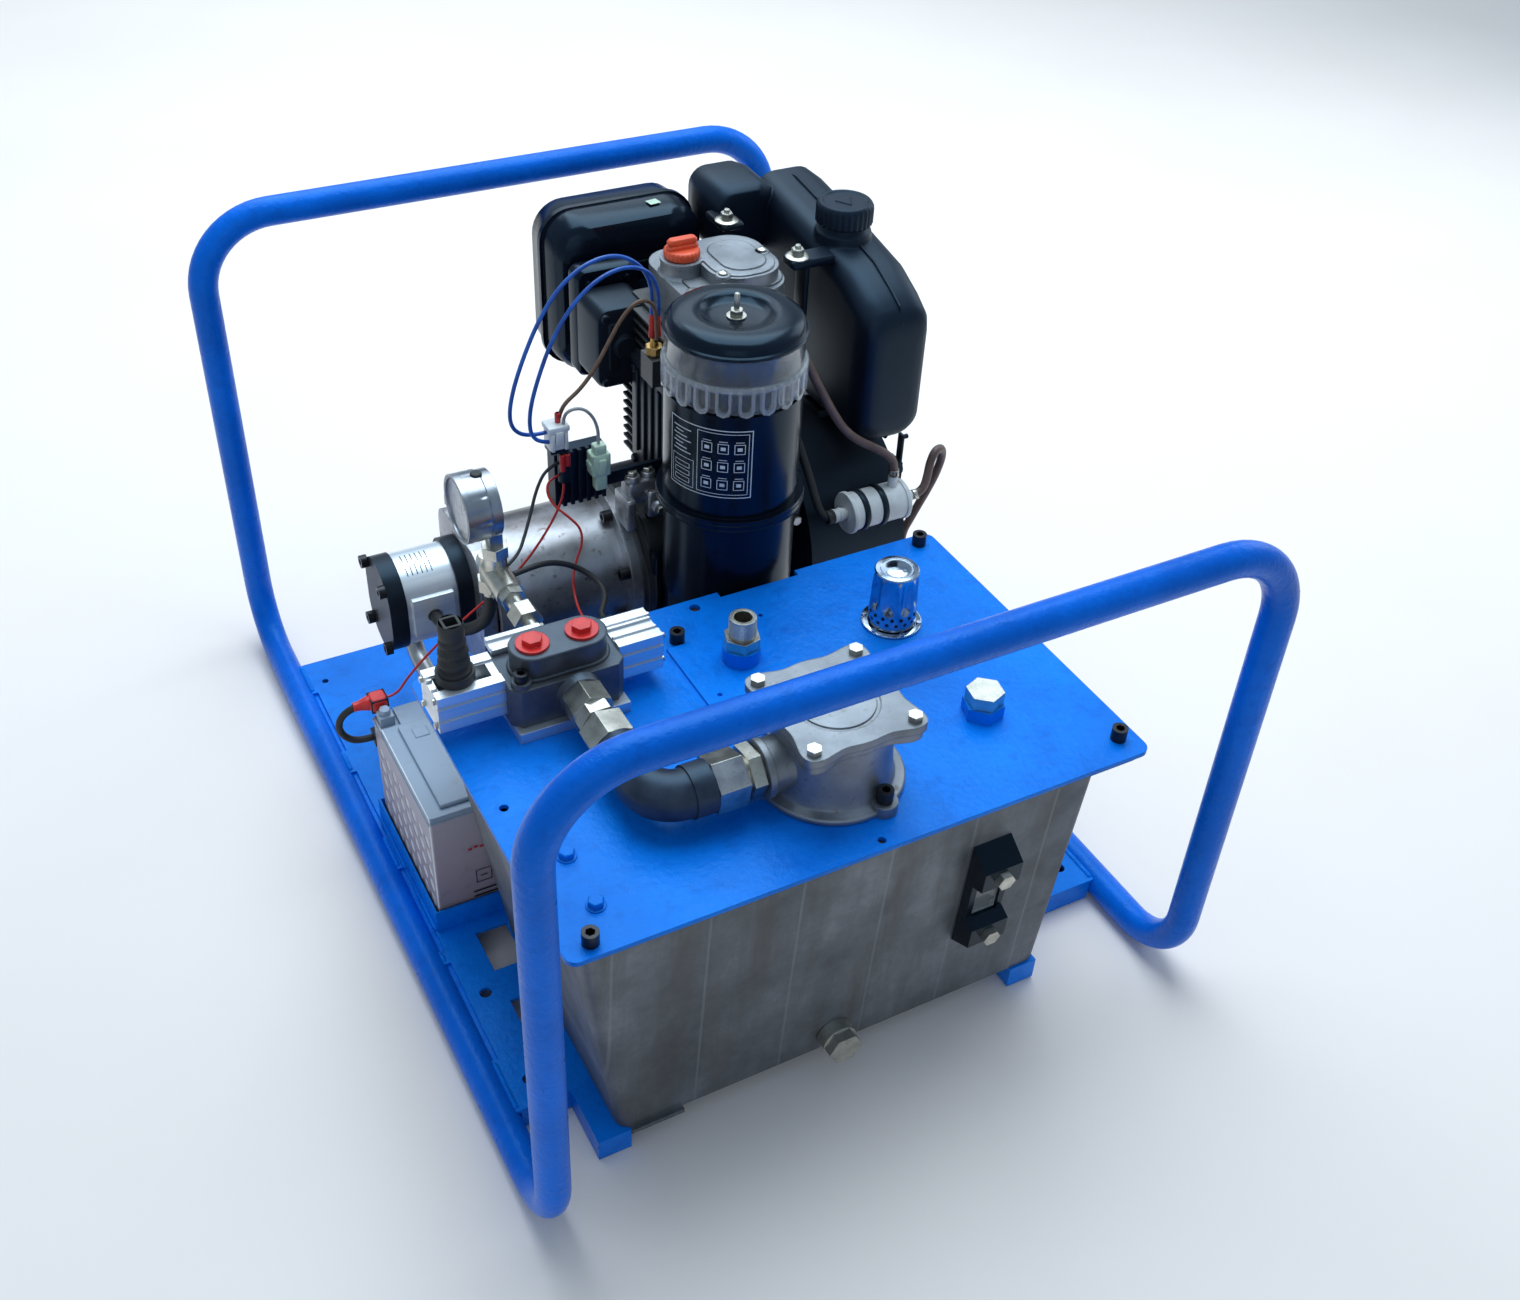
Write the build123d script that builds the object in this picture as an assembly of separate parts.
from build123d import *
import math
import os

# Hydraulic power unit. Millimetres, +Z up, the tank end faces -Y, the pump side faces -X.
# The origin is on the ground under the middle of the tubular frame.

# Tubular frame
TUBE_R = 33.7 / 2
TUBE_WALL = 3.2
RAIL_X = 367.0
HOOP_Y = 503.0
HOOP_Z = 589.6
TOP_BEND = 88.0
FOOT_BEND = 72.0
FOOT_RUN = 112.0

# Base plate
PLATE_TOP = 29.0
PLATE_T = 4.0
PLATE_FRONT = -376.0
PLATE_REAR = 380.0
BASE_HOLE_R = 6.5
BASE_HOLES = [(x, y) for x in (-329.0, 329.0) for y in (-344.0, -223.5)]

# Tank and cover
COVER_TOP = 334.85
COVER_T = 5.0
GASKET_T = 2.0
FLANGE_T = 5.0
COVER_X = (-329.2, 290.8)
COVER_Y = (-467.9, -60.7)
TANK_TOP_X = (-318.0, 235.0)
TANK_TOP_Y = (-460.0, -126.0)
TANK_FOOT_X = (-273.0, 226.0)
TANK_FOOT_Y = (-441.0, -142.0)
TANK_WALL = 3.0
COVER_SCREWS = [(-302.0, -452.0), (270.0, -440.0), (268.0, -76.0), (-58.0, -118.0)]
COVER_BOLTS = [(-281.0, -351.0), (-281.0, -415.5)]
FLANGE_TOP = COVER_TOP - COVER_T - GASKET_T

# Fittings on the tank's walls
GAUGE_X = 118.0
GAUGE_BOLTS_Z = (160.0, 247.0)
GAUGE_DEPTH = 26.0
SUCTION_X, SUCTION_Z = -235.0, 105.0

# Return filter
FILTER_X = -14.0
FILTER_Y = -358.0
FILTER_R = 64.0
PORT_Z = COVER_TOP + 37.0
FILTER_PITCH = 53.0

# Ports on the cover
NIPPLE_X, NIPPLE_Y = -12.0, -174.0
PLUG_X, PLUG_Y = 169.0, -349.0
BREATHER_X, BREATHER_Y = 164.0, -184.0
DOUBLER_T = 3.0

# Valve
VALVE_X = (-265.0, -147.0)
VALVE_Y = (-189.0, -115.0)
VALVE_Z = (COVER_TOP + 12.0, 392.0)
SPOOL_Y, SPOOL_Z = -146.0, 370.0
SPOOL_R = 9.0
LEVER_X, LEVER_PIVOT_Z = -306.0, 392.0
VALVE_PORT_X = -198.0
BOSS_Y = -156.0

# Drive line: the crankshaft, coupling and pump share one axis along X
SHAFT_Y, SHAFT_Z = 170.0, 240.0
SHAFT_R = 15.0
FIT = 0.05
GEAR_TEETH = 12
GEAR_MODULE = 3.0
GEAR_GAP = GEAR_TEETH * GEAR_MODULE
GEAR_X = (-268.0, -216.0)

# Engine
CYL_X, CYL_Y = 120.0, 172.0
BORE_R = 43.0
CASE_X = (-6.0, 190.0)
ENGINE_FOOT_Z = 90.0
CLEANER_X, CLEANER_Y = 70.0, 15.0
CAP_X, CAP_Y = 295.0, 180.0
LEVER_YZ = (92.0, 318.0)

TURN = {"x": Rot(0, 90, 0), "y": Rot(-90, 0, 0), "z": Rot(0, 0, 0)}
LOW = (Align.CENTER, Align.CENTER, Align.MIN)


def block(x0, x1, y0, y1, z0, z1):
    """A box between two corners."""
    middle = Pos((x0 + x1) / 2, (y0 + y1) / 2, (z0 + z1) / 2)
    return middle * Box(x1 - x0, y1 - y0, z1 - z0)


def rod(x, y, z, axis, r, length):
    """A cylinder that starts at a point and runs along an axis."""
    return Pos(x, y, z) * TURN[axis] * Cylinder(r, length, align=LOW)


def tube(x, y, z, axis, outer, inner, length):
    return rod(x, y, z, axis, outer, length) - rod(x, y, z, axis, inner, length)


def taper(x, y, z, axis, r0, r1, length):
    return Pos(x, y, z) * TURN[axis] * Cone(r0, r1, length, align=LOW)


def hexagon(x, y, z, axis, across, length, turn=0.0):
    """A hexagonal prism, measured across its flats."""
    outline = RegularPolygon(across / 2, 6, major_radius=False, rotation=turn)
    return Pos(x, y, z) * TURN[axis] * extrude(outline, length)


def rounded(x0, x1, y0, y1, z0, z1, r):
    """A box whose upright edges are rounded."""
    outline = RectangleRounded(x1 - x0, y1 - y0, r)
    return Pos((x0 + x1) / 2, (y0 + y1) / 2, z0) * extrude(outline, z1 - z0)


def socket_screw(x, y, z, r, head, shank):
    """A cap screw standing on height z, with a hexagon socket in its head."""
    top = rod(x, y, z, "z", r, head) - hexagon(x, y, z + head * 0.45, "z", r, head)
    return top + rod(x, y, z - shank, "z", r * 0.55, shank)


def hex_bolt(x, y, z, across, head, shank):
    return hexagon(x, y, z, "z", across, head) + rod(x, y, z - shank, "z", across * 0.28, shank)


def drill(body, places, z, r, length):
    for x, y in places:
        body -= rod(x, y, z, "z", r, length)
    return body


def hose(points, r):
    """Straight runs joined by tangent arcs, each arc as large as its two runs allow."""
    radii = []
    for a, b, c in zip(points, points[1:], points[2:]):
        before = Vector(*b) - Vector(*a)
        after = Vector(*c) - Vector(*b)
        turn = math.radians(before.get_angle(after))
        radii.append(0.45 * min(before.length, after.length) / math.tan(turn / 2))
    path = FilletPolyline(*points, radius=radii)
    body = sweep(Plane(path @ 0, z_dir=path % 0) * Circle(r), path)
    print(f"  r {r} length {path.length:.0f} volume ratio",
          round(body.volume / (math.pi * r * r * path.length), 4),
          "radii", [round(v) for v in radii])
    return body


# ------------------------------------------------------------------ frame

def hoop(side):
    """One end hoop: two feet, two posts and a crossbar in one bent tube."""
    y = side * HOOP_Y
    foot = side * (HOOP_Y - FOOT_RUN)
    corners = [(-RAIL_X, foot, TUBE_R), (-RAIL_X, y, TUBE_R), (-RAIL_X, y, HOOP_Z),
               (RAIL_X, y, HOOP_Z), (RAIL_X, y, TUBE_R), (RAIL_X, foot, TUBE_R)]
    path = FilletPolyline(*corners, radius=[FOOT_BEND, TOP_BEND, TOP_BEND, FOOT_BEND])
    section = Circle(TUBE_R) - Circle(TUBE_R - TUBE_WALL)
    return sweep(Plane(path @ 0, z_dir=path % 0) * section, path)


def rail(x):
    run = HOOP_Y - FOOT_RUN
    return tube(x, -run, TUBE_R, "y", TUBE_R, TUBE_R - TUBE_WALL, 2 * run)


def tubular_frame():
    return [hoop(-1), hoop(1), rail(-RAIL_X), rail(RAIL_X)]


def base_plate():
    """Folded plate between the rails, cut to the tubes, with slots along the welds."""
    body = block(-356, 356, PLATE_FRONT, PLATE_REAR, PLATE_TOP - PLATE_T, PLATE_TOP)
    for x in (-RAIL_X, RAIL_X):
        body -= rod(x, -HOOP_Y, TUBE_R, "y", TUBE_R, 2 * HOOP_Y)
    for y0, y1 in ((-308, -169), (-150, -15), (40, 160), (200, 320)):
        body -= block(-357, -348, y0, y1, 0, 40)
        body -= block(348, 357, y0, y1, 0, 40)
    inner = RAIL_X - TUBE_R - 0.3
    for y0 in (PLATE_FRONT, PLATE_REAR - PLATE_T):
        body += block(-inner, inner, y0, y0 + PLATE_T, 1, PLATE_TOP - PLATE_T)
    body -= block(-310, -275, -200, -142, 0, 40)
    body -= block(-310, -285, -296, -244, 0, 40)
    body -= rod(-333, 338, 0, "z", 4, 40)
    return drill(body, BASE_HOLES, 0, BASE_HOLE_R, 40)


def support_bars():
    """Two folded channels that carry the tank where it overhangs the base plate."""
    bars = []
    for x0, x1 in ((-297, -262), (190, 224)):
        bar = block(x0, x1, -444, PLATE_FRONT, 1, PLATE_TOP)
        bars.append(bar - block(x0 + 3, x1 - 3, -441, PLATE_FRONT, 1, PLATE_TOP - 4))
    return bars


def battery_tray():
    body = block(-346, -259, -123, 74, PLATE_TOP, PLATE_TOP + 29)
    return body - block(-343.5, -261.5, -120.5, 71.5, PLATE_TOP + 2.5, PLATE_TOP + 40)


def battery_case():
    body = rounded(-341, -264, -118, 66, PLATE_TOP + 2.5, 186, 4)
    for row in range(5):
        for column in range(8):
            y = -104 + column * 21.5
            z = 62 + row * 22
            body -= rod(-342, y, z, "x", 8, 2.2)
    return body


def battery_lid():
    body = rounded(-341, -264, -118, 66, 186, 194, 4)
    body -= block(-342, -318, 36, 67, 189, 195)
    body -= block(-287, -263, 36, 67, 189, 195)
    return body + rounded(-322, -283, -92, 22, 194, 197, 5)


def battery_terminals():
    solids = []
    for x in (-330, -275):
        solids.append(block(x - 8, x + 8, 44, 60, 189, 201))
        solids.append(hexagon(x, 52, 201, "z", 11, 7))
    return solids


# ------------------------------------------------------------------ tank

def tank_outline(level, inset):
    """Rounded rectangle of the tank wall at a level from 0, its foot, to 1, its top."""
    def between(foot, top):
        return foot + (top - foot) * level
    x0 = between(TANK_FOOT_X[0], TANK_TOP_X[0]) + inset
    x1 = between(TANK_FOOT_X[1], TANK_TOP_X[1]) - inset
    y0 = between(TANK_FOOT_Y[0], TANK_TOP_Y[0]) + inset
    y1 = between(TANK_FOOT_Y[1], TANK_TOP_Y[1]) - inset
    z = PLATE_TOP + (FLANGE_TOP - PLATE_TOP) * level
    return Pos((x0 + x1) / 2, (y0 + y1) / 2, z) * RectangleRounded(x1 - x0, y1 - y0, 14 - inset)


def front_wall_y(z):
    level = (z - PLATE_TOP) / (FLANGE_TOP - PLATE_TOP)
    return TANK_FOOT_Y[0] + (TANK_TOP_Y[0] - TANK_FOOT_Y[0]) * level


def oil_tank():
    outer = loft([tank_outline(0, 0), tank_outline(1, 0)])
    inner = loft([tank_outline(0.015, TANK_WALL), tank_outline(1, TANK_WALL)])
    flange = rounded(-322, 284, -463, -65, FLANGE_TOP - FLANGE_T, FLANGE_TOP, 12)
    body = outer + flange - inner
    body = drill(body, COVER_SCREWS, FLANGE_TOP - 10, 4.6, 20)
    body -= rod(-35, -470, 52, "y", 13.1, 60)
    for z in GAUGE_BOLTS_Z:
        body -= rod(GAUGE_X, -490, z, "y", 5.8, 60)
    return body - rod(SUCTION_X, -160, SUCTION_Z, "y", 15.1, 60)


def tank_shim():
    """Bare packing strip under the front edge of the tank."""
    return block(-262, -205, -446, -400, 24, PLATE_TOP)


def suction_union():
    """Nut and stub where the suction pipe leaves the tank."""
    body = rod(SUCTION_X, -160, SUCTION_Z, "y", 15, 26)
    return body + hexagon(SUCTION_X, -136.4, SUCTION_Z, "y", 40, 12)


def cover_outline(z0, z1):
    body = rounded(COVER_X[0], COVER_X[1], COVER_Y[0], COVER_Y[1], z0, z1, 12)
    return body - block(18, 114, COVER_Y[1] - 9, COVER_Y[1] + 1, z0 - 1, z1 + 1)


def cover_holes(body):
    """Screw holes and the openings below the filter, breather, nipple and plug."""
    z = FLANGE_TOP - 1
    body = drill(body, COVER_SCREWS, z, 4.6, 20)
    body = drill(body, COVER_BOLTS, z, 3.8, 20)
    body -= rod(FILTER_X, FILTER_Y, z, "z", 46, 20)
    body = drill(body, filter_lugs(), z, 4.6, 20)
    body -= rod(BREATHER_X, BREATHER_Y, z, "z", 24, 20)
    body -= rod(NIPPLE_X, NIPPLE_Y, z, "z", 12, 20)
    return body - rod(PLUG_X, PLUG_Y, z, "z", 12, 20)


def tank_gasket():
    top = FLANGE_TOP + GASKET_T
    body = rounded(-322, 284, -463, -65, FLANGE_TOP, top, 12)
    body -= rounded(-311, 228, -453, -133, FLANGE_TOP - 1, top + 1, 8)
    return drill(body, COVER_SCREWS, FLANGE_TOP - 1, 4.6, 20)


def tank_cover():
    body = cover_holes(cover_outline(COVER_TOP - COVER_T, COVER_TOP))
    for x, y, r in ((-309, -270, 4.5), (-15, -457, 4.2), (-16, -75, 6), (42, -116, 2.5)):
        body -= rod(x, y, COVER_TOP - 10, "z", r, 20)
    return body


def port_doubler():
    """Raised pad that stiffens the cover beside the filter."""
    body = block(-75, 71, FILTER_Y + FILTER_R + 4, -128, COVER_TOP, COVER_TOP + DOUBLER_T)
    body = drill(body, filter_lugs(), COVER_TOP - 1, 13.5, 10)
    body -= rod(NIPPLE_X, NIPPLE_Y, COVER_TOP - 1, "z", 12, 10)
    return body - rod(-58, -216, COVER_TOP - 1, "z", 2.5, 10)


def cover_screws():
    return [socket_screw(x, y, COVER_TOP, 8, 14, 16) for x, y in COVER_SCREWS]


def cover_bolts():
    return [hex_bolt(x, y, COVER_TOP, 13, 7, 4) for x, y in COVER_BOLTS]


def on_front_wall(shape, z):
    """Stands a shape, made with its back on Y = 0, on the sloping front wall at height z."""
    slope = math.degrees(math.atan2(TANK_FOOT_Y[0] - TANK_TOP_Y[0], FLANGE_TOP - PLATE_TOP))
    return Pos(GAUGE_X, front_wall_y(z), z) * Rot(slope, 0, 0) * shape


def level_gauge_body():
    half = 72.0
    depth = GAUGE_DEPTH
    side = Polyline((0, -half), (-depth, -half + 16), (-depth, -30), (-12, -24), (-12, 24),
                    (-depth, 30), (-depth, half - 16), (0, half), close=True)
    body = Pos(-22, 0, 0) * extrude(make_face(Plane.YZ * side), 44, dir=(1, 0, 0))
    body -= block(-15, 15, -13, 1, -26, 26)
    for z in (-43.5, 43.5):
        body -= rod(0, -40, z, "y", 5.2, 60)
    return on_front_wall(body, 203.5)


def level_gauge_window():
    body = block(-14.6, 14.6, -9, -1, -25.6, 25.6)
    return on_front_wall(body, 203.5)


def level_gauge_bolts():
    heads = []
    for z in (-43.5, 43.5):
        bolt = hexagon(0, -GAUGE_DEPTH - 8, z, "y", 17, 8) + rod(0, -GAUGE_DEPTH, z, "y", 5, 38)
        heads.append(on_front_wall(bolt, 203.5))
    return heads


def drain_plug():
    head = hexagon(-35, -470, 52, "y", 33, 12)
    face = front_wall_y(52)
    collar = rod(-35, -458, 52, "y", 19, face + 458 - 1.4)
    return head + collar + rod(-35, face - 3, 52, "y", 13, 14)


# ------------------------------------------------------------------ cover fittings

def breather_base():
    body = tube(BREATHER_X, BREATHER_Y, COVER_TOP, "z", 32.5, 17, 3)
    body += tube(BREATHER_X, BREATHER_Y, COVER_TOP, "z", 21, 17, 10)
    body += tube(BREATHER_X, BREATHER_Y, COVER_TOP - 60, "z", 21, 19, 61)
    for k in range(6):
        turn = math.radians(60 * k + 20)
        x = BREATHER_X + 29.4 * math.cos(turn)
        y = BREATHER_Y + 29.4 * math.sin(turn)
        body += hexagon(x, y, COVER_TOP + 3, "z", 5, 2.5)
    return body


def breather_cap():
    """Fluted, perforated cap that twists off its base."""
    body = taper(BREATHER_X, BREATHER_Y, COVER_TOP + 5, "z", 26, 22.5, 55)
    body -= rod(BREATHER_X, BREATHER_Y, COVER_TOP + 4, "z", 21.5, 40)
    for k in range(8):
        turn = math.radians(45 * k)
        x = BREATHER_X + 31 * math.cos(turn)
        y = BREATHER_Y + 31 * math.sin(turn)
        body -= rod(x, y, COVER_TOP + 30, "z", 8, 40)
    return body + rod(BREATHER_X, BREATHER_Y, COVER_TOP + 60, "z", 21.5, 9)


def nipple_boss():
    foot = COVER_TOP + DOUBLER_T
    return tube(NIPPLE_X, NIPPLE_Y, foot, "z", 20, 13.1, 18)


def return_nipple():
    foot = COVER_TOP + DOUBLER_T
    body = hexagon(NIPPLE_X, NIPPLE_Y, foot + 18, "z", 34, 13, 12)
    body += rod(NIPPLE_X, NIPPLE_Y, foot + 31, "z", 12.5, 3)
    body += rod(NIPPLE_X, NIPPLE_Y, foot + 34, "z", 14, 20)
    body += rod(NIPPLE_X, NIPPLE_Y, foot + 2, "z", 13, 16)
    return body - rod(NIPPLE_X, NIPPLE_Y, foot, "z", 9.5, 60)


def plug_boss():
    body = hexagon(PLUG_X, PLUG_Y, COVER_TOP, "z", 38, 15, 12)
    return body - rod(PLUG_X, PLUG_Y, COVER_TOP - 1, "z", 13.1, 30)


def hex_plug():
    body = hexagon(PLUG_X, PLUG_Y, COVER_TOP + 15, "z", 34, 15, 20)
    return body + rod(PLUG_X, PLUG_Y, COVER_TOP + 1, "z", 13, 14)


def filter_lugs():
    """Centres of the two lugs that hold the filter head down."""
    reach = FILTER_R + 5
    return [(FILTER_X + reach * math.cos(math.radians(a)), FILTER_Y + reach * math.sin(math.radians(a)))
            for a in (-72, 108)]


def filter_corners():
    half = FILTER_PITCH
    return [(FILTER_X + i * half, FILTER_Y + j * half) for i in (-1, 1) for j in (-1, 1)]


def lobed(z, middle, reach, height):
    """A disc that swells out smoothly at its four corners, one lobe round each bolt."""
    points = []
    for k in range(64):
        a = 2 * math.pi * k / 64
        off = (a % (math.pi / 2)) - math.pi / 4
        r = middle + (reach - middle) * math.exp(-((off / 0.27) ** 2))
        points.append((r * math.cos(a), r * math.sin(a)))
    outline = Spline(*points, periodic=True)
    return Pos(FILTER_X, FILTER_Y, z) * extrude(make_face(outline), height)


def filter_head():
    """Cast head with a base flange, a bowl-shaped neck, a lobed top and a side port."""
    z = COVER_TOP
    body = rod(FILTER_X, FILTER_Y, z, "z", FILTER_R, 8)
    for x, y in filter_lugs():
        body += rod(x, y, z, "z", 13, 12)
    body += taper(FILTER_X, FILTER_Y, z + 8, "z", FILTER_R - 6, FILTER_R - 14, 18)
    body += rod(FILTER_X, FILTER_Y, z + 26, "z", FILTER_R - 14, 56)
    body += lobed(z + 72, 58, 84, 10)
    body += taper(FILTER_X, FILTER_Y, z + 58, "z", FILTER_R - 14, 57, 14)
    body += rod(FILTER_X - 76, FILTER_Y, PORT_Z, "x", 27, 60)
    body += rod(FILTER_X - 80, FILTER_Y, PORT_Z, "x", 30, 7)
    body -= rod(FILTER_X, FILTER_Y, z - 1, "z", 44, 90)
    body -= rod(FILTER_X - 82, FILTER_Y, PORT_Z, "x", 20, 70)
    body = drill(body, filter_lugs(), z - 1, 4.6, 20)
    return drill(body, filter_corners(), z + 66, 4.1, 20)


def filter_cover():
    """Lobed square lid with a raised ring, one lobe over each bolt."""
    z = COVER_TOP + 82
    body = lobed(z, 62, 87, 9)
    body -= tube(FILTER_X, FILTER_Y, z + 7.5, "z", 42, 38, 2)
    return drill(body, filter_corners(), z - 1, 4.1, 20)


def filter_bolts():
    z = COVER_TOP + 91
    return [hex_bolt(x, y, z, 13, 6, 18) for x, y in filter_corners()]


def filter_screws():
    return [socket_screw(x, y, COVER_TOP + 12, 8, 14, 24) for x, y in filter_lugs()]


def filter_element():
    return tube(FILTER_X, FILTER_Y, COVER_TOP - 130, "z", 36, 20, 190)


def filter_bowl():
    body = tube(FILTER_X, FILTER_Y, COVER_TOP - 150, "z", 43.5, 41.5, 214)
    return body + tube(FILTER_X, FILTER_Y, COVER_TOP - 152, "z", 43.5, 12, 3)


def filter_union():
    """Adapter and union nut between the filter port and the return elbow."""
    x = FILTER_X - 80
    body = hexagon(x - 15, FILTER_Y, PORT_Z, "x", 48, 13, 20)
    body += rod(x - 2, FILTER_Y, PORT_Z, "x", 19.9, 16)
    body += rod(x - 20, FILTER_Y, PORT_Z, "x", 19, 6)
    body += hexagon(x - 50, FILTER_Y, PORT_Z, "x", 50, 31, 8)
    return body - rod(x - 51, FILTER_Y, PORT_Z, "x", 13, 70)


def return_elbow():
    """Thick black elbow from the filter's nut round to the valve's outlet."""
    x = FILTER_X - 130
    corners = [(x, FILTER_Y, PORT_Z), (VALVE_PORT_X, FILTER_Y, PORT_Z), (VALVE_PORT_X, -278, PORT_Z)]
    path = FilletPolyline(*corners, radius=30)
    body = sweep(Plane(path @ 0, z_dir=path % 0) * (Circle(24) - Circle(13)), path)
    body += tube(x - 22, FILTER_Y, PORT_Z, "x", 26, 13, 22)
    return body


def outlet_union():
    """Adapter and nuts between the valve's front port and the return elbow."""
    x, z = VALVE_PORT_X, PORT_Z
    body = hexagon(x, -278, z, "y", 44, 32, 10)
    body += rod(x, -246, z, "y", 15, 6)
    body += hexagon(x, -240, z, "y", 36, 14, 0)
    body += hexagon(x, -226, z, "y", 40, 29, 20)
    body += rod(x, -200, z, "y", 13, 10.8)
    return body - rod(x, -279, z, "y", 9, 100)


# ------------------------------------------------------------------ valve

def valve_pad():
    return block(-263, -147, VALVE_Y[0] - 8, VALVE_Y[1] - 4, COVER_TOP, VALVE_Z[0])


def valve_body():
    """Cast body with an oval port boss on top and a bore for the spool."""
    x0, x1 = VALVE_X
    y0, y1 = VALVE_Y
    body = block(x0, x1, y0, y1, VALVE_Z[0], VALVE_Z[1])
    body = chamfer(body.edges().filter_by(Axis.Z), 9)
    body += Pos(-205, BOSS_Y, VALVE_Z[1]) * extrude(SlotOverall(98, 46), 26)
    body += rod(-252, -178, VALVE_Z[1], "z", 10, 6)
    body -= rod(-252, -178, VALVE_Z[1] - 12, "z", 4.1, 20)
    body += rod(VALVE_PORT_X, y0 - 8, PORT_Z, "y", 20, 10)
    body -= rod(VALVE_PORT_X, y0 - 9, PORT_Z, "y", 13.1, 10)
    body += rod(VALVE_PORT_X - 6, y1 - 1, 378, "y", 14, 6)
    body -= rod(VALVE_PORT_X - 6, y1 - 6, 378, "y", 9.1, 12)
    body -= rod(x0 - 1, SPOOL_Y, SPOOL_Z, "x", SPOOL_R + FIT, x1 - x0 + 2)
    for x in (-231, -180):
        body -= rod(x, BOSS_Y, VALVE_Z[1] + 12, "z", 11.1, 20)
    return body


def valve_screw():
    return socket_screw(-252, -178, VALVE_Z[1] + 6, 7, 9, 12)


def port_plugs():
    z = VALVE_Z[1] + 26
    plugs = []
    for x in (-231, -180):
        plug = rod(x, BOSS_Y, z - 10, "z", 11, 10) + rod(x, BOSS_Y, z, "z", 16.5, 3)
        plug += hexagon(x, BOSS_Y, z + 3, "z", 18, 6)
        plugs.append(plug)
    return plugs


def end_section(x0, x1):
    """Extruded end housing: two rails on top, grooved sides."""
    y0, y1, z0, z1 = -170, -122, 354, 396
    body = block(x0, x1, y0, y1, z0, z1)
    body -= block(x0, x1, y0 + 12, y1 - 12, z1 - 2.5, z1 + 1)
    for z in (z0 + 12, z1 - 14):
        body -= block(x0, x1, y0 - 1, y0 + 1.6, z, z + 3)
        body -= block(x0, x1, y1 - 1.6, y1 + 1, z, z + 3)
    return body


def lever_housing():
    """Left end section, hollow for the lever's lower arm and the spool's end."""
    body = end_section(-333, VALVE_X[0])
    return body - block(LEVER_X - 20, VALVE_X[0] - 8, SPOOL_Y - 11, SPOOL_Y + 11, 358, 400) \
        - rod(VALVE_X[0] - 9, SPOOL_Y, SPOOL_Z, "x", SPOOL_R + 1, 10)


def spring_housing():
    body = end_section(VALVE_X[1], -99)
    return body - rod(VALVE_X[1] - 1, SPOOL_Y, SPOOL_Z, "x", 14, 42)


def end_screws():
    screws = []
    for x, step in ((-336, 3), (-99, 3)):
        for y in (-164, -128):
            for z in (360, 390):
                screws.append(rod(x, y, z, "x", 3.4, step))
    return screws


def valve_spool():
    """Grooved spool: one end in the lever housing, the other against the spring."""
    body = rod(-290, SPOOL_Y, SPOOL_Z, "x", SPOOL_R, 160)
    for x in (-240, -205, -172):
        body -= tube(x, SPOOL_Y, SPOOL_Z, "x", SPOOL_R + 1, 5.5, 14)
    body += rod(-309, SPOOL_Y, SPOOL_Z, "x", 4, 20) - block(-312, -300, -160, -130, 360, 400)
    fork = block(-314, -292, SPOOL_Y - 8, SPOOL_Y + 8, 363, 374)
    fork -= block(LEVER_X - 5.4, LEVER_X + 5.4, SPOOL_Y - 9, SPOOL_Y + 9, 364, 376)
    return body + fork


def spool_spring():
    """Centring spring, drawn as its outer sleeve."""
    return tube(-128, SPOOL_Y, SPOOL_Z, "x", 12, 9.5, 18)


def control_lever():
    """Lever stub on its pivot pin, with a square socket for the removable handle."""
    x, y = LEVER_X, SPOOL_Y
    body = rod(x, y, 371, "z", 4, 45)
    body += rod(x, y - 9, LEVER_PIVOT_Z, "y", 5, 18)
    body += taper(x, y, 414, "z", 13, 8, 36)
    body += rod(x, y, 450, "z", 9.5, 14)
    return body - block(x - 4, x + 4, y - 4, y + 4, 454, 470)


def lever_boot_base():
    """Clamped foot of the rubber boot."""
    body = tube(LEVER_X, SPOOL_Y, 396, "z", 19, 15.5, 10)
    return body


def pressure_adapter():
    """Adapter and tee from the valve's rear port, with a branch up to the gauge."""
    x, z = VALVE_PORT_X - 6, 378
    y = VALVE_Y[1] - 6
    body = rod(x, y, z, "y", 9, 14)
    body += hexagon(x, y + 12, z, "y", 22, 16, 10)
    body += rod(x, y + 28, z, "y", 8, 16)
    body += hexagon(x, y + 44, z, "y", 27, 22, 0)
    body += rod(x, y + 66, z, "y", 9, 20)
    body += hexagon(x, y + 84, z, "y", 24, 12, 15)
    body += rod(x, y + 95, z, "y", 15, 52)
    body += rod(x, 14, z, "z", 12, 26)
    body += hexagon(x, 14, z + 26, "z", 26, 13, 15)
    body += rod(x, 26, z, "y", 10, 22) + rod(x, 38, z - 20, "z", 10, 30)
    body += hexagon(x, 38, z - 34, "z", 24, 15, 15)
    return body - rod(x, 14, z + 20, "z", 6.1, 30)


GAUGE_AXIS_X = VALVE_PORT_X - 6
DIAL = (GAUGE_AXIS_X - 18, 14.0, 470.0)
DIAL_R = 35.0


def gauge_case():
    """Steel case, open to the front, on a square-shanked stem."""
    x, y, z = DIAL
    body = rod(x - 18, y, z, "x", DIAL_R, 36) - rod(x - 19, y, z, "x", DIAL_R - 2, 35)
    body += tube(x - 19, y, z, "x", DIAL_R + 1.5, DIAL_R - 3, 7)
    body += rod(GAUGE_AXIS_X, y, 400, "z", 6, z - 400 - DIAL_R + 1.5)
    body += block(GAUGE_AXIS_X - 7, GAUGE_AXIS_X + 7, y - 7, y + 7, 417, 434)
    return body


def gauge_dial():
    x, y, z = DIAL
    return rod(x - 9, y, z, "x", DIAL_R - 2.1, 2) - rod(x - 10, y, z, "x", 1.6, 5)


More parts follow.
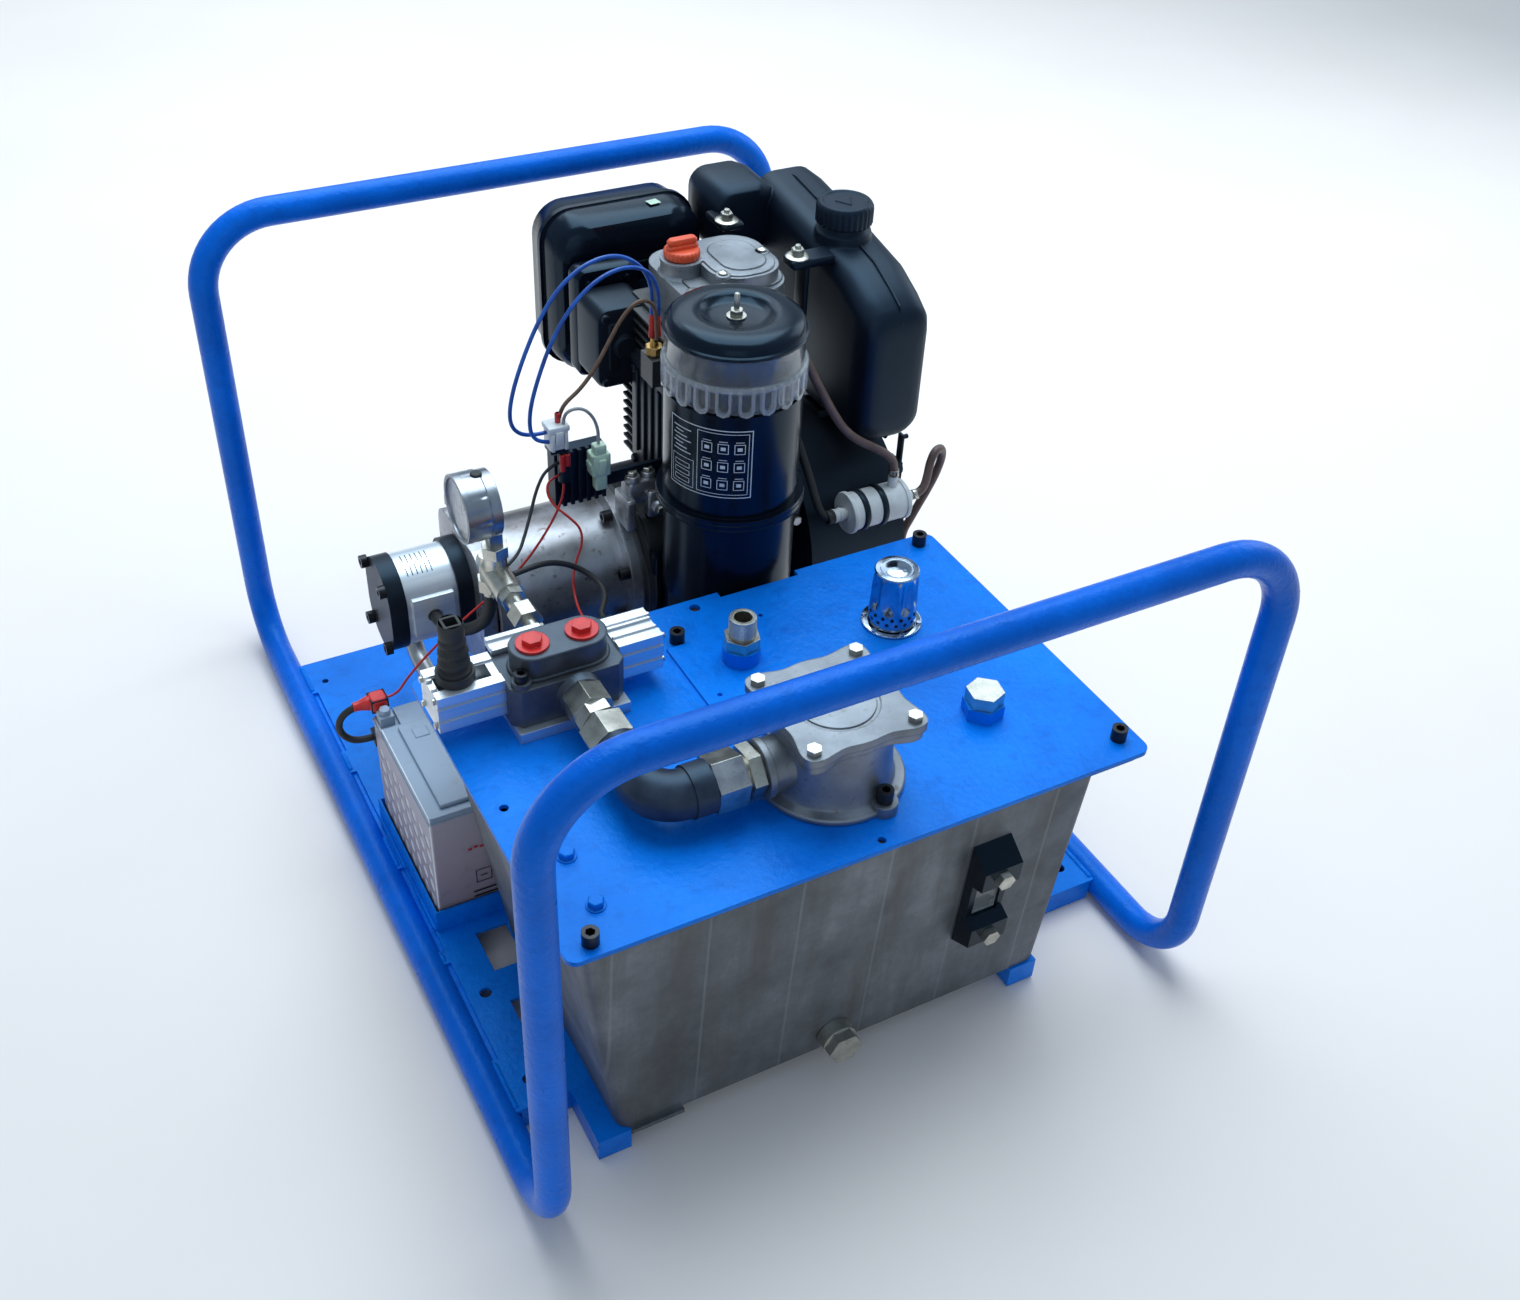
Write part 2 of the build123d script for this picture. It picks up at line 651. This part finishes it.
def gauge_needle():
    x, y, z = DIAL
    body = rod(x - 13, y, z, "x", 1.5, 10) + rod(x - 13, y, z, "x", 4, 2)
    return body + block(x - 12.5, x - 11.5, y - 1, y + 1, z - 8, z + 26)


def gauge_lens():
    x, y, z = DIAL
    return rod(x - 17, y, z, "x", DIAL_R - 3.1, 2)


# ------------------------------------------------------------------ pump

def gear_outline(phase):
    """Spur gear outline with straight flanks, thinned a little for backlash."""
    pitch = GEAR_TEETH * GEAR_MODULE / 2
    tip = pitch + 0.9 * GEAR_MODULE
    root = pitch - 1.15 * GEAR_MODULE
    step = 2 * math.pi / GEAR_TEETH
    points = []
    for k in range(GEAR_TEETH):
        for r, part in ((root, -0.352), (tip, -0.112), (tip, 0.112), (root, 0.352)):
            a = phase + (k + part) * step
            points.append((r * math.cos(a), r * math.sin(a)))
    return make_face(Polyline(*points, close=True))


def pump_gear(height, phase, shaft_end):
    """A gear with its two journals, along X."""
    place = Pos(GEAR_X[0], SHAFT_Y, SHAFT_Z + height) * Rot(0, 90, 0)
    body = place * extrude(gear_outline(phase), GEAR_X[1] - GEAR_X[0])
    return body + rod(-280, SHAFT_Y, SHAFT_Z + height, "x", 10, shaft_end + 280)


def pump_outline(x0, x1, grow):
    """Stadium-shaped pump section that holds one gear above the other."""
    middle = SHAFT_Z + GEAR_GAP / 2
    outline = SlotOverall(GEAR_GAP + 76 + 2 * grow, 84 + 2 * grow)
    return Pos(x0, SHAFT_Y, middle) * Rot(0, 90, 0) * extrude(outline, x1 - x0)


def pump_bores(body, x0, x1, r):
    for height in (0, GEAR_GAP):
        body -= rod(x0, SHAFT_Y, SHAFT_Z + height, "x", r, x1 - x0)
    return body


def pump_body():
    """Extruded aluminium barrel with a port pad on each side."""
    body = pump_outline(-272, -212, 0)
    body += block(-266, -218, SHAFT_Y - 46, SHAFT_Y + 46, SHAFT_Z + GEAR_GAP / 2 - 24,
                  SHAFT_Z + GEAR_GAP / 2 + 26)
    tip = GEAR_TEETH * GEAR_MODULE / 2 + 0.9 * GEAR_MODULE
    body = pump_bores(body, GEAR_X[0] - 0.1, GEAR_X[1] + 0.1, tip + 0.1)
    body = pump_bores(body, -273, -211, 10 + FIT)
    for y in (SHAFT_Y - 47, SHAFT_Y + 17):
        body -= rod(-242, y, SHAFT_Z + GEAR_GAP / 2, "y", 8.1, 30)
    return body


def pump_end_cover():
    """Black rear cover of the pump, with blind bearing bores."""
    body = pump_outline(-292, -272, 2)
    return pump_bores(body, -281, -271, 10 + FIT)


def pump_bolts():
    middle = SHAFT_Z + GEAR_GAP / 2
    places = [(SHAFT_Y + i * 32, middle + j * 40) for i in (-1, 1) for j in (-1, 1)]
    return [rod(-300, y, z, "x", 7.5, 8) - hexagon(-301, y, z, "x", 7, 5) for y, z in places]


def pump_flange():
    """Black mounting flange that spigots the pump into the bell housing."""
    body = pump_outline(-212, -194, 4)
    body = pump_bores(body, -213, -211 + 8, 10 + FIT)
    return body - rod(-214, SHAFT_Y, SHAFT_Z, "x", 12.5, 30)


# ------------------------------------------------------------------ bell housing and coupling

def bell_housing():
    """Cast bell: a square pump plate, a round barrel and the engine flange."""
    body = rod(-176, SHAFT_Y, SHAFT_Z, "x", 81, 156)
    plate = Pos(-194, SHAFT_Y, SHAFT_Z + 4) * Rot(0, 90, 0)
    body += plate * extrude(RectangleRounded(172, 136, 24), 18)
    body += rod(-20, SHAFT_Y, SHAFT_Z, "x", 100, 14)
    body += rod(-185, 196, 310, "z", 8, 42)
    body -= rod(-176, SHAFT_Y, SHAFT_Z, "x", 74, 172)
    body -= rod(-196, SHAFT_Y, SHAFT_Z, "x", 13, 40)
    for y, z in bell_places():
        body -= rod(-30, y, z, "x", 4.6, 30)
    return body


def bell_places():
    return [(SHAFT_Y + 90 * math.cos(math.radians(a)), SHAFT_Z + 90 * math.sin(math.radians(a)))
            for a in (22, 68, 112, 158, 202, 248, 292, 338)]


def bell_screws():
    return [rod(-31, y, z, "x", 7, 11) - hexagon(-32, y, z, "x", 7, 6)
            + rod(-20, y, z, "x", 4.5, 13) for y, z in bell_places()]


def bell_plug():
    body = hexagon(-185, 196, 352, "z", 22, 12, 0)
    return body + rod(-185, 196, 364, "z", 8, 6)


def jaw_hub(x, length, flip):
    """Coupling hub with three jaws that reach into the spider."""
    body = tube(x, SHAFT_Y, SHAFT_Z, "x", 34, 15.1, length)
    start = x + length if flip else x - 11
    for k in range(3):
        jaw = Pos(start, SHAFT_Y, SHAFT_Z) * Rot(120 * k + (60 if flip else 0), 0, 0)
        body += jaw * block(0, 11, -7, 7, 18, 31)
    return body


def coupling_spider():
    body = tube(-104, SHAFT_Y, SHAFT_Z, "x", 16, 8, 12)
    for k in range(6):
        place = Pos(-104, SHAFT_Y, SHAFT_Z) * Rot(60 * k + 30, 0, 0)
        body += place * block(0.5, 11.5, -4.5, 4.5, 15, 31)
    return body


def pump_hub():
    return jaw_hub(-144, 40, True) + tube(-144, SHAFT_Y, SHAFT_Z, "x", 16, 10.05, 36)


def engine_hub():
    return jaw_hub(-92, 46, False)


# ------------------------------------------------------------------ engine

def crankshaft():
    """Shaft with two webs, a crankpin at the top and a taper end for the flywheel."""
    pin_z = SHAFT_Z + 35
    body = rod(-90, SHAFT_Y, SHAFT_Z, "x", SHAFT_R, 184)
    body += rod(146, SHAFT_Y, SHAFT_Z, "x", SHAFT_R, 92)
    for x in (78, 132):
        body += block(x, x + 18, SHAFT_Y - 24, SHAFT_Y + 24, SHAFT_Z - 50, pin_z + 22)
    return body + rod(94, SHAFT_Y, pin_z, "x", 18, 40)


def flywheel():
    body = tube(202, SHAFT_Y, SHAFT_Z, "x", 108, SHAFT_R + FIT, 14)
    body += tube(216, SHAFT_Y, SHAFT_Z, "x", 108, 84, 18)
    body += tube(216, SHAFT_Y, SHAFT_Z, "x", 30, SHAFT_R + FIT, 16)
    for k in range(12):
        place = Pos(216, SHAFT_Y, SHAFT_Z) * Rot(30 * k, 0, 0)
        body += place * block(0, 26, -2, 2, 86, 106)
    return body


def crankcase():
    """Cast case with bearing bores at both ends and two feet."""
    x0, x1 = CASE_X
    side = RectangleRounded(162, 210, 30)
    body = Pos(x0 + 14, SHAFT_Y, 222) * Rot(0, 90, 0) * extrude(Rot(0, 0, 90) * side, x1 - x0 - 14)
    body += rod(x0, SHAFT_Y, SHAFT_Z, "x", 98, 16)
    body += rod(x1 - 4, SHAFT_Y, SHAFT_Z, "x", 60, 10)
    for y in (SHAFT_Y - 94, SHAFT_Y + 64):
        body += block(14, 176, y, y + 30, ENGINE_FOOT_Z, 150)
    body += rod(CYL_X, CYL_Y, 315, "z", 62, 25)
    body -= rod(14, SHAFT_Y, SHAFT_Z, "x", 76, 162)
    body -= rod(CYL_X, CYL_Y, 290, "z", BORE_R + 0.1, 60)
    body -= rod(x0 - 1, SHAFT_Y, SHAFT_Z, "x", SHAFT_R + FIT, x1 - x0 + 20)
    for y, z in bell_places():
        body -= rod(x0 - 1, y, z, "x", 4.6, 12)
    return body


def finned_block(x0, x1, y0, y1, z0, z1, core):
    """Square air-cooled block: a core with thin fins round it."""
    body = block(x0 + core, x1 - core, y0 + core, y1 - core, z0, z1)
    count = int((z1 - z0 - 4) / 11)
    for k in range(count):
        z = z0 + 4 + k * (z1 - z0 - 8) / (count - 0.6)
        body += block(x0, x1, y0, y1, z, z + 3)
    return body


def cylinder_barrel():
    body = finned_block(46, 194, 102, 244, 340, 455, 14)
    return body - rod(CYL_X, CYL_Y, 339, "z", BORE_R + FIT, 120)


def cylinder_head():
    body = finned_block(42, 196, 100, 246, 455, 548, 12)
    body += block(18, 60, 104, 134, 500, 532)
    body += block(60, 110, 90, 116, 470, 520)
    body += block(70, 130, 240, 262, 480, 530)
    return body - rod(27, 119, 520, "z", 6.1, 20)


def rocker_cover():
    """Aluminium cover: a D-shaped dome on a rounded skirt, with the oil filler neck."""
    body = rounded(66, 192, 106, 242, 548, 588, 34)
    body += rounded(104, 188, 112, 218, 588, 604, 36)
    body += rod(91, 184, 588, "z", 22, 18)
    return body - rounded(70, 188, 110, 238, 547, 584, 30)


def rocker_screws():
    places = ((112, 204), (112, 126), (178, 160))
    screws = [rod(x, y, 604, "z", 5, 4) for x, y in places]
    return screws + [rod(78, 128, 588, "z", 5, 4)]


def oil_cap():
    body = rod(91, 184, 606.3, "z", 20, 10)
    return body + block(73, 109, 179, 189, 616.3, 628)


def decompression_lever():
    """Small lever on the back corner of the rocker cover."""
    body = rod(176, 200, 588.3, "z", 6, 22)
    return body + Pos(176, 200, 604) * Rot(0, 0, 60) * block(0, 34, -4, 4, 0, 4)


def piston():
    body = rod(CYL_X, CYL_Y, 374, "z", BORE_R, 72) - rod(CYL_X, CYL_Y, 373, "z", 36, 54)
    for z in (432, 424, 416):
        body -= tube(CYL_X, CYL_Y, z, "z", BORE_R + 1, BORE_R - 2.5, 2.5)
    return body


def heat_sensor():
    """Brass sensor on the front left corner of the head."""
    body = rod(27, 119, 522, "z", 6, 12) + hexagon(27, 119, 534, "z", 17, 9, 10)
    return body + rod(27, 119, 543, "z", 4, 10)


def fan_shroud():
    """Housing over the flywheel fan, open through the grille at its end."""
    body = rod(196, SHAFT_Y, SHAFT_Z, "x", 138, 130) - rod(199, SHAFT_Y, SHAFT_Z, "x", 135, 124)
    body -= rod(195, SHAFT_Y, SHAFT_Z, "x", 40, 5)
    body += block(262, 318, 150, 190, 374, 386.6)
    for r in (40, 62, 84):
        count = int(r / 3.2)
        for k in range(count):
            place = Pos(320, SHAFT_Y, SHAFT_Z) * Rot(360 / count * k, 0, 0)
            body -= place * block(0, 12, -2.5, 2.5, r, r + 15)
    return body


def air_guide():
    """Folded sheet that closes the fins on the cylinder's left and front."""
    return block(40, 42, 97, 204, 345, 495) + block(40, 150, 97, 99.5, 345, 452)


def speed_bracket():
    """Bracket on the front of the shroud that carries the speed lever."""
    y, z = LEVER_YZ
    body = block(326, 345, y - 12, y + 12, z - 12, z + 14)
    return body - block(326, 341, y - 8, y + 8, z - 16, z + 10)


def lift_pump():
    """Small fuel pump on the end of the shroud."""
    return block(326, 350, 44, 66, 196, 226)


def speed_lever():
    y, z = LEVER_YZ
    body = rod(345.4, y, z, "x", 8, 4) + block(345.4, 348.4, y - 5, y + 5, z, z + 48)
    return body + rod(348.4, y, z + 43, "x", 3, 7)


def air_cleaner_can():
    """Black canister with a clamp ring and a seat for the clear bowl."""
    x, y = CLEANER_X, CLEANER_Y
    body = rod(x, y, 292, "z", 73, 118)
    body += rod(x, y, 407, "z", 81, 12)
    body += rod(x, y, 419, "z", 74, 124)
    body += rod(x, y, 543, "z", 62, 20)
    body += block(x - 10, x + 40, y + 40, y + 75, 470, 520)
    return body - rod(x, y, 300, "z", 69, 240)


def air_cleaner_element():
    return tube(CLEANER_X, CLEANER_Y, 305, "z", 58, 30, 230)


def precleaner_bowl():
    """Clear bowl with a ring of louvres round its lower rim."""
    x, y = CLEANER_X, CLEANER_Y
    body = tube(x, y, 543.2, "z", 75, 62.2, 30) + tube(x, y, 573.2, "z", 73, 66, 33)
    for k in range(24):
        place = Pos(x, y, 546) * Rot(0, 0, 15 * k)
        body -= place * block(70, 77, -5.5, 5.5, 0, 24)
    return body


def precleaner_cap():
    """Dished black lid held by a stud and nut."""
    x, y = CLEANER_X, CLEANER_Y
    body = rod(x, y, 606.4, "z", 76, 5) + taper(x, y, 611.4, "z", 70, 66, 14)
    body += tube(x, y, 563.2, "z", 12, 3.1, 43.2)
    body -= rod(x, y, 619, "z", 24, 10)
    return body - rod(x, y, 560, "z", 3.1, 80)


def cleaner_nut():
    x, y = CLEANER_X, CLEANER_Y
    body = rod(x, y, 619.2, "z", 10, 2) + hexagon(x, y, 621.2, "z", 12, 7)
    return body + rod(x, y, 563.4, "z", 3, 82)


def muffler():
    """Pressed steel box with a seam round its edge and an inlet pipe."""
    body = block(-8, 182, 300, 400, 410, 604)
    body = fillet(body.edges(), 20)
    inner = block(-5.5, 179.5, 302.5, 397.5, 412.5, 601.5)
    body += rounded(-12, 186, 345, 355, 425, 590, 3)
    body += rod(100, 262, 505, "y", 19, 42)
    return body - fillet(inner.edges(), 17) - rod(100, 261, 505, "y", 16, 60)


def heat_shield():
    body = block(0, 77, 266, 292, 430, 566) - block(3, 74, 269, 293, 433, 563)
    return body


def fuel_tank():
    """Moulded tank: a deep body over the fan, sloping up to a lobe at the back."""
    side = Polyline((48, 398), (46, 546), (62, 562), (110, 588), (200, 604), (330, 620),
                    (342, 600), (342, 420), (300, 396), (100, 384), close=True)
    body = Pos(256, 0, 0) * extrude(make_face(Plane.YZ * side), 86, dir=(1, 0, 0))
    body = fillet(body.edges().filter_by(GeomType.LINE).group_by(Axis.X)[0], 12)
    body = fillet(body.edges().group_by(Axis.X)[-1], 14)
    lobe = block(188, 270, 292, 378, 532, 622)
    body += fillet(lobe.edges(), 16)
    body += rod(CAP_X, CAP_Y, 590, "z", 26, 22)
    body += block(206, 262, 138, 164, 590, 596)
    return body


def fuel_cap():
    body = rod(CAP_X, CAP_Y, 612.3, "z", 33, 26)
    for k in range(30):
        turn = math.radians(12 * k)
        body -= rod(CAP_X + 34 * math.cos(turn), CAP_Y + 34 * math.sin(turn), 612, "z", 1.8, 30)
    return body


def tank_bracket():
    """Post under the fuel tank's tab, with a washer and bolt on top."""
    return block(196, 230, 140, 162, 520, 526) + block(224, 230, 140, 162, 526, 590)


def tank_bolts():
    body = rod(219, 151, 596, "z", 14, 3) + hexagon(219, 151, 599, "z", 13, 8)
    return body


def fuel_filter():
    """White in-line filter with two dark bands and a spigot at each end."""
    x, y, z = 214, 28, 322
    body = rod(x, y, z, "x", 7, 20) + rod(x + 20, y, z, "x", 23, 78)
    body += rod(x + 98, y, z, "x", 7, 12) + rod(x + 82, y, z + 16, "z", 6, 20)
    return body


def engine_rails():
    rails = []
    for x in (24, 128):
        outer = block(x, x + 40, 66, 280, PLATE_TOP, 69)
        rails.append(outer - block(x + 3, x + 37, 60, 290, PLATE_TOP + 3, 66))
    return rails


def rubber_mounts():
    mounts = []
    for x in (44, 148):
        for y in (91, 249):
            mounts.append(rod(x, y, 69, "z", 18, 21))
    return mounts


def starter_motor():
    """Starter on the back of the crankcase, its nose toward the flywheel."""
    body = rod(60, 297, 215, "x", 34, 110) + rod(170, 297, 215, "x", 24, 22)
    return body + rod(78, 297, 258, "x", 17, 70)


# ------------------------------------------------------------------ hoses and wires

WIRES = {
    "blue_wire_outer": (2.2, [(24, 119, 553), (24, 119, 586), (23, 118, 618), (8, 116, 644),
                              (-20, 113, 661), (-54, 108, 660), (-86, 103, 643), (-112, 98, 613),
                              (-132, 94, 577), (-147, 91, 542), (-153, 90, 513), (-148, 90, 495),
                              (-132, 90, 485), (-112, 90, 485)]),
    "blue_wire_inner": (2.2, [(31, 119, 553), (32, 118, 584), (30, 116, 614), (14, 111, 639),
                              (-16, 105, 650), (-50, 99, 643), (-80, 94, 621), (-104, 90, 588),
                              (-120, 87, 553), (-130, 85, 525), (-133, 84, 505), (-132, 83, 491),
                              (-124, 83, 480), (-112, 83, 477)]),
    "brown_wires": (2.2, [(27, 113, 553), (27, 112, 578), (21, 110, 600), (3, 107, 608),
                          (-17, 104, 594), (-36, 100, 567), (-54, 96, 542), (-72, 94, 524),
                          (-88, 92, 515), (-96, 90, 506), (-99, 90, 494)]),
    "red_wire": (1.4, [(-103, 84, 432), (-115, 82, 431), (-122, 73, 422), (-118, 62, 410),
                       (-106, 52, 399), (-95, 44, 386), (-97, 37, 369), (-108, 32, 352),
                       (-116, 22, 335), (-120, 5, 324), (-124, -16, 323), (-128, -38, 330),
                       (-130, -54, 332)]),
    "black_wire": (1.8, [(-103, 84, 448), (-118, 81, 446), (-134, 70, 432), (-148, 54, 414),
                         (-162, 38, 399), (-176, 22, 389), (-190.9, 14, 386)]),
    "sensor_cable": (3.2, [(-188.9, 4, 380), (-168, 7, 381), (-146, 15, 375), (-124, 21, 363),
                           (-104, 19, 349), (-92, 6, 339), (-92, -11, 335), (-101, -28, 334),
                           (-111, -41, 333.5), (-111, -54, 333.5)]),
    "battery_red_wire": (1.4, [(-98, 82, 424), (-98, 82, 408), (-111, 76, 388), (-130, 70, 366),
                               (-151, 66, 345), (-173, 66, 325), (-197, 69, 306), (-223, 70, 288),
                               (-250, 71, 267), (-276, 72, 244), (-297, 73, 222), (-309, 72, 206),
                               (-322, 72, 206)]),
    "grey_wire": (1.8, [(-95, 84, 494), (-95, 84, 504), (-87, 81, 512), (-74, 79, 511),
                        (-63, 79, 498), (-57, 81, 480), (-56, 83, 465), (-56, 83, 450)]),
    "battery_lead": (4.0, [(-341.6, 72, 205), (-358.6, 72, 205), (-372.6, 75, 194.9),
                           (-378, 77, 178.5), (-372.6, 77, 162.1), (-358.6, 75, 152),
                           (-341.6, 75, 152)]),
    "fuel_hose_feed": (5.2, [(184, 100, 532), (184, 86, 532), (186, 74, 525), (191, 67, 511),
                             (199, 63, 492), (211, 59, 468), (224, 54, 442), (238, 48, 420),
                             (256, 42, 406), (274, 36, 396), (287, 31, 387), (296, 28, 375),
                             (296, 28, 358)]),
    "fuel_hose_return": (5.2, [(324, 28, 322), (335, 28, 322), (344, 29, 329), (348, 31, 343),
                               (351, 33.5, 357), (358, 37, 369), (369, 41.5, 370), (377, 46, 360),
                               (379, 50, 343), (376, 53.5, 322), (369, 56, 301), (359, 57, 281),
                               (349, 56.5, 263), (338, 55, 246), (338, 55, 226)]),
    "pressure_hose": (7.0, [(-204, 38, 344), (-204, 38, 309), (-218, 60, 276), (-240, 90, 259),
                            (-242, 124, SHAFT_Z + GEAR_GAP / 2)]),
}


def wire(name):
    r, points = WIRES[name]
    print(name)
    return hose(points, r)


def battery_boot():
    """Red boot on the battery's live terminal."""
    return block(-341.6, -322, 61, 80, 197, 213) - block(-339, -321, 43, 61, 190, 214)


def wire_connectors():
    """Connectors, loom sleeve, battery cable clamp and the clip on the cover's edge."""
    white = block(-112, -92, 80, 98, 462, 494)
    green = block(-66, -46, 74, 92, 424, 450) + block(-62, -50, 76, 86, 406, 424)
    loom = rod(-96, 84, 424, "z", 7, 38)
    clamp = block(-341.6, -322, 66, 83, 144, 159)
    clip = block(-138, -104, COVER_Y[1], -54, 326, 341)
    return [white, green, loom, clamp, clip]


def regulator():
    """Finned charge regulator on its strip bracket above the bell housing."""
    body = block(-104, -44, 92, 112, 384, 452)
    for k in range(6):
        body -= block(-100 + 9.4 * k, -95 + 9.4 * k, 91, 97, 380, 460)
    strip = block(-104, 40, 112, 116, 384, 400) + block(14, 40, 112, 116, 327, 400)
    return [body, strip]


def suction_pipe():
    """Rigid pipe from the tank's back wall round to the pump's inlet."""
    middle = SHAFT_Z + GEAR_GAP / 2
    corners = [(SUCTION_X, -124.4, SUCTION_Z), (SUCTION_X, 262, SUCTION_Z),
               (SUCTION_X - 7, 262, middle), (SUCTION_X - 7, 216, middle)]
    path = FilletPolyline(*corners, radius=44)
    return sweep(Plane(path @ 0, z_dir=path % 0) * Circle(11), path)


def socket_screws():
    """Black cap screws of the cover, filter, valve, bell housing and pump."""
    return cover_screws() + filter_screws() + [valve_screw()] + bell_screws() + pump_bolts()


def hex_bolts():
    """Plain hexagon bolts of the cover, filter lid and level gauge, and the valve's end screws."""
    return cover_bolts() + filter_bolts() + level_gauge_bolts() + end_screws() + rocker_screws()


def threaded_fittings():
    """Plated plugs, nipples, adapters and unions."""
    return [drain_plug(), return_nipple(), hex_plug(), filter_union(), outlet_union(),
            pressure_adapter(), bell_plug(), heat_sensor(), suction_union()]


NODES = {
    "tubular_frame": tubular_frame,
    "base_plate": base_plate,
    "base_brackets": lambda: support_bars() + [battery_tray()] + engine_rails(),
    "battery": lambda: [battery_case(), battery_lid()] + battery_terminals(),
    "oil_tank": lambda: [oil_tank(), tank_shim()],
    "tank_cover": lambda: [tank_cover(), port_doubler(), nipple_boss(), plug_boss()],
    "socket_screws": socket_screws,
    "hex_bolts": hex_bolts,
    "level_gauge_body": level_gauge_body,
    "clear_windows": lambda: [level_gauge_window(), gauge_lens()],
    "threaded_fittings": threaded_fittings,
    "breather_base": breather_base,
    "breather_cap": breather_cap,
    "filter_head": lambda: [filter_head(), filter_cover()],
    "filter_insert": lambda: [filter_element(), filter_bowl()],
    "return_elbow": return_elbow,
    "valve_body": valve_body,
    "valve_ends": lambda: [valve_pad(), lever_housing(), spring_housing(), spool_spring()],
    "port_plugs": port_plugs,
    "valve_spool": valve_spool,
    "control_lever": control_lever,
    "rubber_parts": lambda: [tank_gasket(), lever_boot_base()] + rubber_mounts(),
    "gauge_case": lambda: [gauge_case(), gauge_dial()],
    "gauge_needle": gauge_needle,
    "crankshaft": crankshaft,
    "drive_gear": lambda: pump_gear(0, 0, -124),
    "driven_gear": lambda: pump_gear(GEAR_GAP, math.pi / GEAR_TEETH, -206),
    "coupling": lambda: [pump_hub(), coupling_spider(), engine_hub()],
    "flywheel": flywheel,
    "pump_body": pump_body,
    "pump_covers": lambda: [pump_end_cover(), pump_flange()],
    "bell_housing": bell_housing,
    "crankcase": crankcase,
    "cylinder": lambda: [cylinder_barrel(), cylinder_head()],
    "rocker_cover": rocker_cover,
    "oil_cap": oil_cap,
    "piston": piston,
    "fan_shroud": lambda: [fan_shroud(), speed_bracket(), lift_pump(), starter_motor(), air_guide()],
    "speed_lever": speed_lever,
    "air_cleaner_can": lambda: [air_cleaner_can(), air_cleaner_element()],
    "precleaner_bowl": precleaner_bowl,
    "precleaner_cap": lambda: [precleaner_cap(), cleaner_nut()],
    "muffler": lambda: [muffler(), heat_shield()],
    "fuel_tank": lambda: [fuel_tank(), tank_bracket(), tank_bolts()],
    "fuel_cap": fuel_cap,
    "fuel_filter": fuel_filter,
    "electrical_fittings": lambda: wire_connectors() + [battery_boot()] + regulator(),
    "suction_pipe": suction_pipe,
}


def export(name, made):
    solids = list(made) if isinstance(made, list) else [made]
    flat = [solid for shape in solids for solid in shape.solids()]
    export_step(flat[0] if len(flat) == 1 else Compound(children=flat), f"parts/{name}.step")


os.makedirs("parts", exist_ok=True)
for name, make in NODES.items():
    export(name, make())
for name in WIRES:
    export(name, wire(name))
